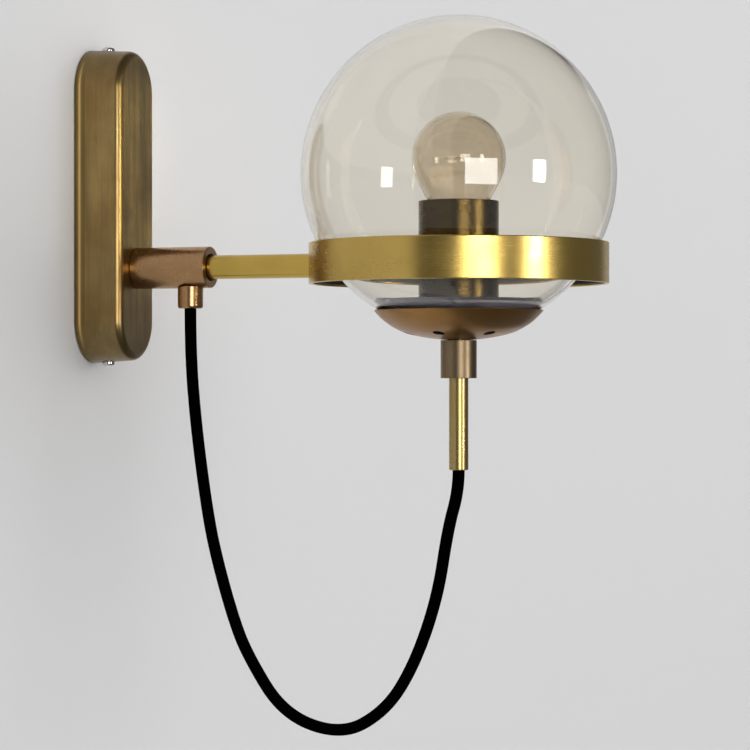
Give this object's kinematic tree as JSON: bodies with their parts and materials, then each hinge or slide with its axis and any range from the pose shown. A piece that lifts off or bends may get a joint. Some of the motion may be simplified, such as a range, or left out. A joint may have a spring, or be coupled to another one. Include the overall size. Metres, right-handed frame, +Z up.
{
  "type": "globe wall sconce",
  "caption": "Wall sconce with a glass globe held in a hoop on a short arm, a bulb in a lampholder below it and a looped cord.",
  "frame": {"origin": "centre of the canopy's rear outline, on the wall plane", "axes": "+X along the wall, +Y into the wall (the light stands out along -Y), +Z up"},
  "size_m": [0.15, 0.266, 0.3448],
  "materials": {
    "brass_canopy": "satin, brushed upright, aged",
    "copper_brass": "satin",
    "arm_brass": "satin",
    "ring_brass": "satin, brushed along the hoop",
    "cup_brass": "satin",
    "collar_brass": "satin",
    "stem_brass": "polished",
    "plain_brass": "plain",
    "bronze": "dark, satin",
    "clamp_dark": "matt black",
    "zinc_steel": "bright zinc",
    "chromed": "polished",
    "cap_nickel": "nickelled",
    "liner": "matt",
    "gasket": "matt",
    "globe_glass": "amber tint, clear",
    "bulb_clear": "clear",
    "porcelain": "glazed",
    "insulator": "black glass",
    "nylon": "natural",
    "wire_sheath": "smooth",
    "cord_black": "woven",
    "filament": "bare"
  },
  "bodies": {
    "fixture": {"arm_nipple": "zinc_steel", "arm_plug": "plain_brass", "arm_tube": "arm_brass", "bottom_cup": "cup_brass", "canopy_cover": "brass_canopy", "canopy_screws": "chromed", "carrier_plate": "zinc_steel", "centre_nipple": "zinc_steel", "clamp_gasket": "gasket", "clamp_screws": "zinc_steel", "collar": "collar_brass", "cord": "cord_black", "cord_grip": "copper_brass", "cord_in_grip": "cord_black", "cord_in_stem": "cord_black", "cup_spacer": "zinc_steel", "earth_screw": "plain_brass", "glass_clamp_1": "clamp_dark", "glass_clamp_2": "clamp_dark", "glass_clamp_3": "clamp_dark", "glass_globe": "globe_glass", "globe_gasket": "gasket", "holder_nut": "zinc_steel", "holder_sleeve": "bronze", "hub": "copper_brass", "hub_nipple": "zinc_steel", "hub_nut": "zinc_steel", "hub_washer": "zinc_steel", "lead_wires": "wire_sheath", "ring_liner": "liner", "ring_screw": "zinc_steel", "socket_body": "porcelain", "socket_contact": "plain_brass", "socket_shell": "plain_brass", "stem_tube": "stem_brass", "support_ring": "ring_brass", "terminal_block": "nylon", "wall_bracket": "zinc_steel"},
    "bulb": {"bulb_glass": "bulb_clear", "bulb_cap": "cap_nickel", "bulb_insulator": "insulator", "bulb_contact": "plain_brass", "bulb_mount": "bulb_clear", "bulb_filament": "filament"}
  },
  "joints": [
    {"name": "bulb_unscrew", "type": "slide", "parent": "fixture", "child": "bulb", "axis": [0, 0, 1], "range_m": [0, 0.026]}
  ]
}
